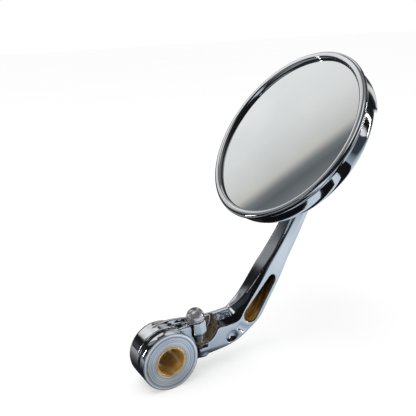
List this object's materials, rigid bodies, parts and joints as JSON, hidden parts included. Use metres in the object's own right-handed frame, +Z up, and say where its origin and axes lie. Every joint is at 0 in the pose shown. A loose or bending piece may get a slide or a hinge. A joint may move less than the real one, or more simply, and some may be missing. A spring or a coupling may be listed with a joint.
{
  "type": "motorcycle bar end mirror",
  "caption": "Round rear-view mirror on a ball stud at the tip of a bent cast arm that clamps on a hub for the end of a motorcycle handlebar.",
  "frame": {"origin": "centre of the hub bore's mouth, on the face that meets the end of the handlebar", "axes": "+X out of the bore, along the handlebar towards the rider; +Y forwards; +Z up"},
  "size_m": [0.1001, 0.1298, 0.1664],
  "materials": {
    "chrome": "polished chrome plate",
    "machined_aluminium": "turned, bare",
    "brass": "bored, bright",
    "steel": "stainless",
    "black_rubber": "matte",
    "nylon": "natural nylon",
    "black_plastic": "matte",
    "mirror_glass": "polished mirror"
  },
  "bodies": {
    "hub": {"hub_flange": "machined_aluminium", "bore_bush": "brass", "o_ring": "black_rubber", "retaining_screw": "steel", "thrust_washer": "steel"},
    "arm": {"arm": "chrome", "clamp_screw": "steel", "clamp_washer": "steel", "ball_stud": "steel", "stud_washer": "steel"},
    "liner": {"rear_liner": "nylon"},
    "cup": {"front_cup": "nylon"},
    "head": {"housing": "chrome", "bezel": "chrome", "mirror_glass": "mirror_glass", "glass_seal": "black_rubber", "backing_plate": "black_plastic", "glass_gasket": "black_rubber", "spring_washer": "steel", "socket_plug": "steel"}
  },
  "joints": [
    {"name": "arm_swivel", "type": "hinge", "parent": "hub", "child": "arm", "pos_m": [0, 0, 0], "axis": [1, 0, 0], "continuous": true},
    {"name": "head_tilt", "type": "hinge", "parent": "arm", "child": "liner", "pos_m": [-0.0053, 0.09197, 0.09437], "axis": [1, 0, 0], "range_deg": [-15, 15]},
    {"name": "head_yaw", "type": "hinge", "parent": "liner", "child": "cup", "pos_m": [-0.0053, 0.09197, 0.09437], "axis": [0, 0.6203, 0.7843], "range_deg": [-15, 15]},
    {"name": "head_turn", "type": "hinge", "parent": "cup", "child": "head", "pos_m": [-0.0053, 0.09197, 0.09437], "axis": [0, -0.7843, 0.6203], "continuous": true}
  ]
}
